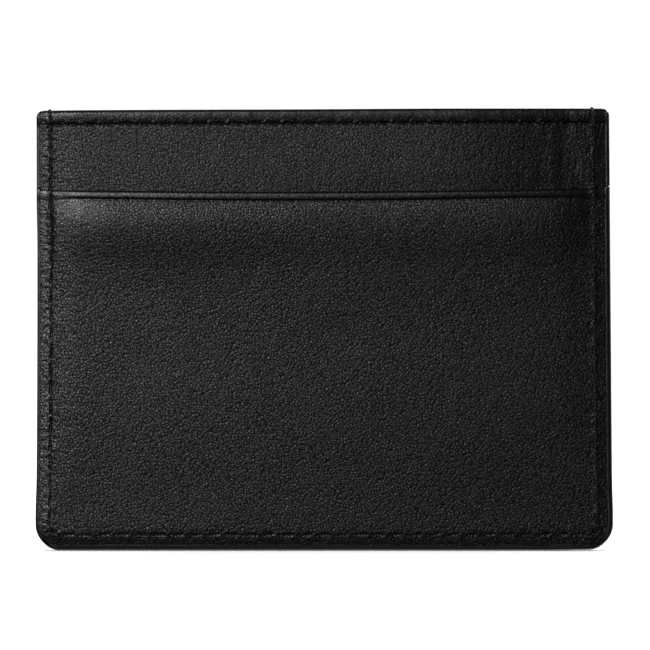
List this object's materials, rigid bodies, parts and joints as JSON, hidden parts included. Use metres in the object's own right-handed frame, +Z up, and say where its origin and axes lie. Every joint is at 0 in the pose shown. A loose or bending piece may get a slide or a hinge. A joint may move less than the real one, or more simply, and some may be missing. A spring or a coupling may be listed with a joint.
{
  "type": "card holder",
  "caption": "Slim grained leather card holder, open at the top, with a stitched card slot on each face, a middle pocket and painted edges.",
  "frame": {"origin": "centre of the bottom edge: the middle of the width and of the thickness, on the surface the holder stands on", "axes": "+X along the width, to the right as the front is seen; +Z up, towards the open mouths; -Y out of the front face and +Y out of the back face"},
  "size_m": [0.1, 0.0068, 0.0767],
  "materials": {
    "leather": "fine pebbled grain, satin, black",
    "lining": "fine woven lining, matt, black",
    "board": "bonded fibre board, matt, grey",
    "paint": "acrylic edge paint, smooth, glossy, black",
    "thread": "bonded polyester thread, twisted, slight sheen, black"
  },
  "bodies": {
    "root": {"front_pocket": "leather", "front_pocket_lining": "lining", "front_panel": "leather", "front_stiffener": "board", "front_lining": "lining", "back_lining": "lining", "back_stiffener": "board", "back_panel": "leather", "back_pocket_lining": "lining", "back_pocket": "leather", "edge_paint": "paint", "perimeter_needle_thread": "thread", "perimeter_bobbin_thread": "thread", "front_mouth_needle_thread": "thread", "front_mouth_bobbin_thread": "thread", "back_mouth_needle_thread": "thread", "back_mouth_bobbin_thread": "thread", "left_corner_tack": "thread", "right_corner_tack": "thread"}
  },
  "joints": []
}
